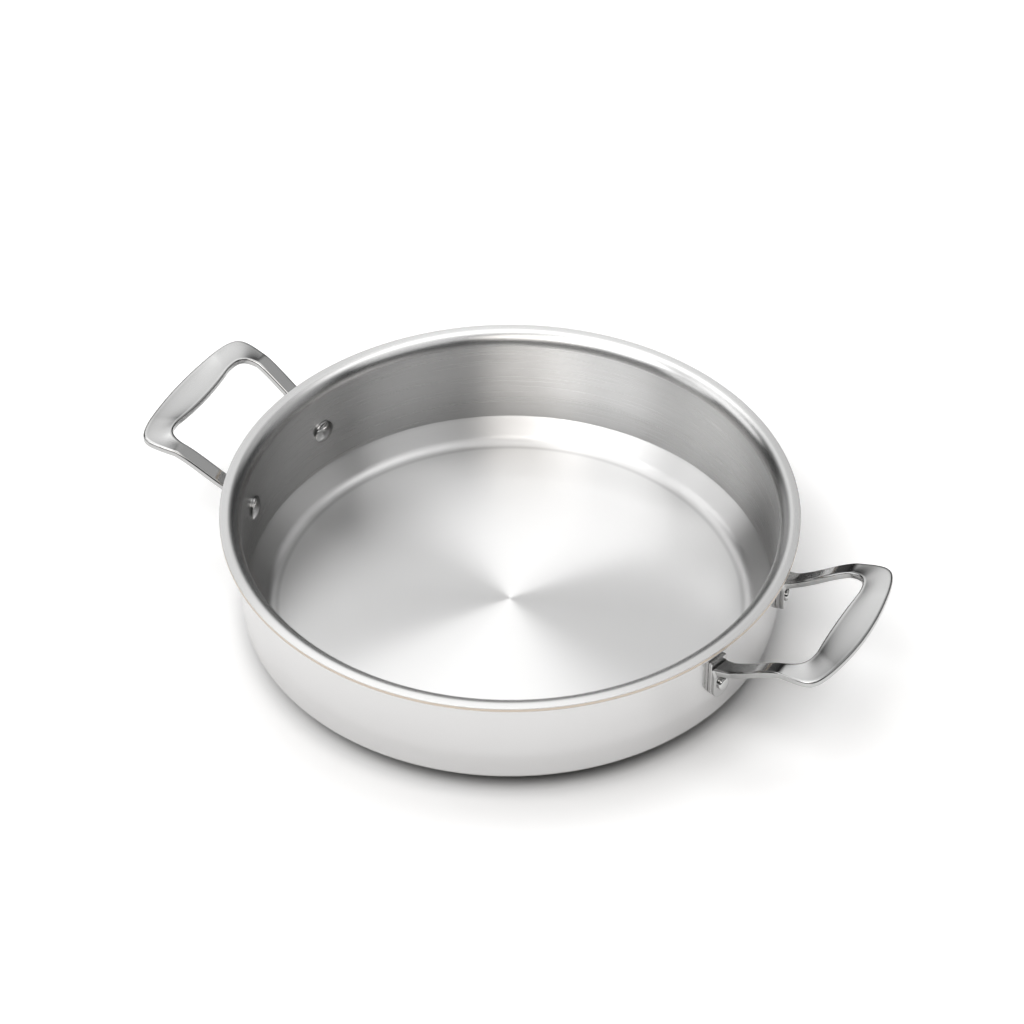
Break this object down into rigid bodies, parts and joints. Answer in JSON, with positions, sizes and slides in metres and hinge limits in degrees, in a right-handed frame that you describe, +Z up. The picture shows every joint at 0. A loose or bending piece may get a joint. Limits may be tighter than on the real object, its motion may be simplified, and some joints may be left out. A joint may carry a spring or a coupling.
{
  "type": "roasting pan",
  "caption": "Round, shallow, straight-walled pan of clad stainless steel with a turned-out pouring lip and a riveted cast loop handle on each side.",
  "frame": {"origin": "centre of the pan's flat base, on the surface that it stands on", "axes": "+Z up through the pan's axis, +X through the middle of both handles, -Y towards the front"},
  "size_m": [0.4058, 0.3, 0.07],
  "materials": {
    "inner_steel": "satin, brushed in circles",
    "core_aluminium": "bare cut edge, slightly tan",
    "outer_steel": "fine satin, nearly polished",
    "cast_steel": "polished cast stainless steel",
    "pad_steel": "plain sheet",
    "rivet_steel": "mirror polished"
  },
  "bodies": {
    "root": {"pan_inner_ply": "inner_steel", "pan_core_ply": "core_aluminium", "pan_outer_ply": "outer_steel", "handle_right": "cast_steel", "handle_left": "cast_steel", "spacer_pad_right_front": "pad_steel", "spacer_pad_right_rear": "pad_steel", "spacer_pad_left_front": "pad_steel", "spacer_pad_left_rear": "pad_steel", "rivet_right_front": "rivet_steel", "rivet_right_rear": "rivet_steel", "rivet_left_front": "rivet_steel", "rivet_left_rear": "rivet_steel"}
  },
  "joints": []
}
